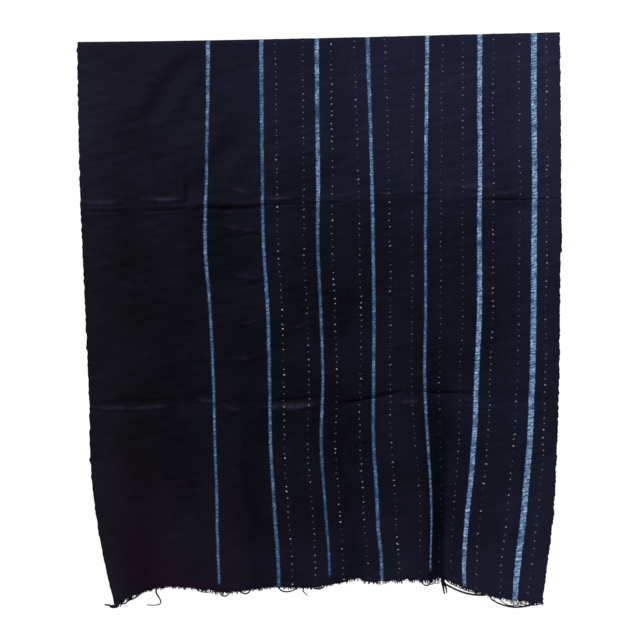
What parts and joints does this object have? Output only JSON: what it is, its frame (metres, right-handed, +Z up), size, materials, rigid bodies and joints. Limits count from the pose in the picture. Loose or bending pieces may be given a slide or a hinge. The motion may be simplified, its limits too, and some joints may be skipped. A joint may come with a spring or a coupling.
{
  "type": "hand-woven indigo strip cloth wall hanging",
  "caption": "Long indigo cotton cloth of narrow woven strips sewn edge to edge, with pale resist-dyed stripes and dots, folded over a rod channel with frayed hems.",
  "frame": {"origin": "under the middle of the top fold, where a hanging rod bears", "axes": "+Z is up, +X is to the right of someone who faces the front, and the front of the cloth faces -Y"},
  "size_m": [1.0803, 0.1007, 1.2903],
  "materials": {
    "plain_indigo_cloth": "near-black indigo, plain hand-woven cotton, matt with a faint nap",
    "striped_indigo_cloth": "near-black indigo cotton with one mottled pale blue resist stripe along its middle and rows of small pale dots",
    "frayed_cotton": "dark indigo cotton threads, raw and hairy"
  },
  "bodies": {
    "root": {"strip_1": "plain_indigo_cloth", "strip_2": "plain_indigo_cloth", "strip_3": "striped_indigo_cloth", "strip_4": "striped_indigo_cloth", "strip_5": "striped_indigo_cloth", "strip_6": "striped_indigo_cloth", "strip_7": "striped_indigo_cloth", "strip_8": "striped_indigo_cloth", "strip_9": "striped_indigo_cloth", "front_frayed_edge": "frayed_cotton", "back_frayed_edge": "frayed_cotton"}
  },
  "joints": []
}
